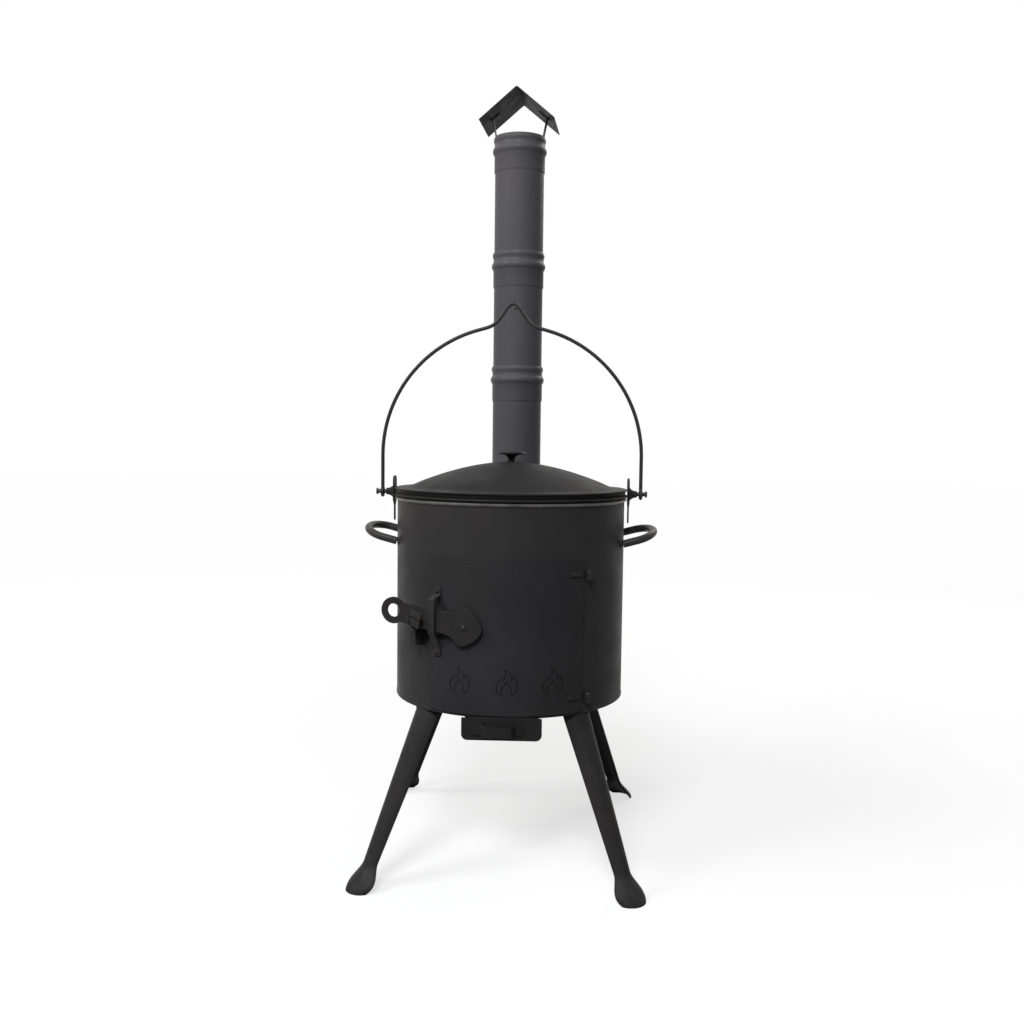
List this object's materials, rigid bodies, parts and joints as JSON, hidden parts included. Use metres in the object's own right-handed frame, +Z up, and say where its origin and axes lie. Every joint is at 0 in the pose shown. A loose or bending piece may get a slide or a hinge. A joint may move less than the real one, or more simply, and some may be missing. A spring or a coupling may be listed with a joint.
{
  "type": "cauldron stove",
  "caption": "Round steel firebox on splayed legs with a hinged door, latch, ash drawer, lift-out cauldron with lid and bail, and a sectional chimney with a gable cap.",
  "frame": {"origin": "on the floor, under the middle of the stove's bounding box", "axes": "+Z up, the door and the ash drawer face -Y, the chimney stands towards +Y, +X is to the right seen from the front"},
  "size_m": [0.5176, 0.6038, 1.3995],
  "materials": {
    "body_paint": "matt heat-resistant black paint, a little dusty",
    "door_paint": "matt heat-resistant black paint",
    "inside_steel": "dull sooty black",
    "grate_iron": "rough dark casting",
    "flue_paint": "satin black paint with a bluish cast",
    "cap_paint": "satin black paint",
    "leg_paint": "satin black paint",
    "bar_paint": "black paint on round bar",
    "fittings_paint": "black paint, worn at the edges",
    "fastener_steel": "blackened steel",
    "latch_paint": "black paint on flat bar",
    "drawer_paint": "matt black paint",
    "pot_iron": "seasoned dark iron",
    "ear_iron": "black casting",
    "bail_wire": "blackened round wire",
    "lid_paint": "satin black",
    "knob_paint": "satin black"
  },
  "bodies": {
    "stove": {"body_shell": "body_paint", "bottom_pan": "inside_steel", "fire_grate": "grate_iron", "flue_elbow": "flue_paint", "flue_collar": "body_paint", "flue_stub": "flue_paint", "leg_front_left": "leg_paint", "leg_front_right": "leg_paint", "leg_rear_left": "leg_paint", "leg_rear_right": "leg_paint", "leg_bolt_front_left": "fastener_steel", "leg_bolt_front_right": "fastener_steel", "leg_bolt_rear_left": "fastener_steel", "leg_bolt_rear_right": "fastener_steel", "side_handle_left": "bar_paint", "side_handle_right": "bar_paint", "drawer_rail_left": "fittings_paint", "drawer_rail_right": "fittings_paint", "latch_keeper": "fittings_paint", "shell_knuckle_top": "fittings_paint", "shell_knuckle_bottom": "fittings_paint", "hinge_pin_top": "fastener_steel", "hinge_pin_bottom": "fastener_steel"},
    "door": {"door_panel": "door_paint", "door_knuckle_top": "fittings_paint", "door_knuckle_bottom": "fittings_paint", "latch_washer": "fittings_paint", "latch_rivet": "fastener_steel", "latch_guide": "fittings_paint", "guide_rivet_lower": "fastener_steel", "guide_rivet_upper": "fastener_steel"},
    "latch": {"latch_bar": "latch_paint"},
    "ash_drawer": {"ash_tray": "drawer_paint", "ash_front": "drawer_paint", "ash_pull": "drawer_paint"},
    "cauldron": {"pot": "pot_iron", "ear_left": "ear_iron", "ear_right": "ear_iron", "bail_pin_left": "ear_iron", "bail_pin_right": "ear_iron"},
    "bail": {"bail": "bail_wire"},
    "lid": {"lid": "lid_paint", "lid_knob": "knob_paint", "knob_screw": "fastener_steel"},
    "chimney_pipe_lower": {"chimney_pipe_lower": "flue_paint"},
    "chimney_pipe_middle": {"chimney_pipe_middle": "flue_paint"},
    "chimney_pipe_upper": {"chimney_pipe_upper": "flue_paint"},
    "cap": {"cap_roof": "cap_paint", "cap_strap_left": "cap_paint", "cap_strap_right": "cap_paint", "cap_rivet_left": "cap_paint", "cap_rivet_right": "cap_paint"}
  },
  "joints": [
    {"name": "door_hinge", "type": "hinge", "parent": "stove", "child": "door", "pos_m": [0.13469, -0.17842, 0.40475], "axis": [0, 0, 1], "range_deg": [0, 135]},
    {"name": "latch_lift", "type": "hinge", "parent": "door", "child": "latch", "pos_m": [-0.066, -0.22073, 0.42255], "axis": [0.3173, 0.9483, 0], "range_deg": [0, 11]},
    {"name": "drawer_slide", "type": "slide", "parent": "stove", "child": "ash_drawer", "axis": [0, -1, 0], "range_m": [0, 0.2]},
    {"name": "cauldron_lift", "type": "slide", "parent": "stove", "child": "cauldron", "axis": [0, 0, 1], "range_m": [0, 0.2]},
    {"name": "bail_hinge", "type": "hinge", "parent": "cauldron", "child": "bail", "pos_m": [0, -0.02347, 0.6288], "axis": [1, 0, 0], "range_deg": [-38, 105]},
    {"name": "lid_lift", "type": "slide", "parent": "cauldron", "child": "lid", "axis": [0, 0, 1], "range_m": [0, 0.12]},
    {"name": "pipe_lower_lift", "type": "slide", "parent": "stove", "child": "chimney_pipe_lower", "axis": [0, 0, 1], "range_m": [0, 0.075]},
    {"name": "pipe_middle_lift", "type": "slide", "parent": "chimney_pipe_lower", "child": "chimney_pipe_middle", "axis": [0, 0, 1], "range_m": [0, 0.075]},
    {"name": "pipe_upper_lift", "type": "slide", "parent": "chimney_pipe_middle", "child": "chimney_pipe_upper", "axis": [0, 0, 1], "range_m": [0, 0.075]},
    {"name": "cap_lift", "type": "slide", "parent": "chimney_pipe_upper", "child": "cap", "axis": [0, 0, 1], "range_m": [0, 0.045]}
  ]
}
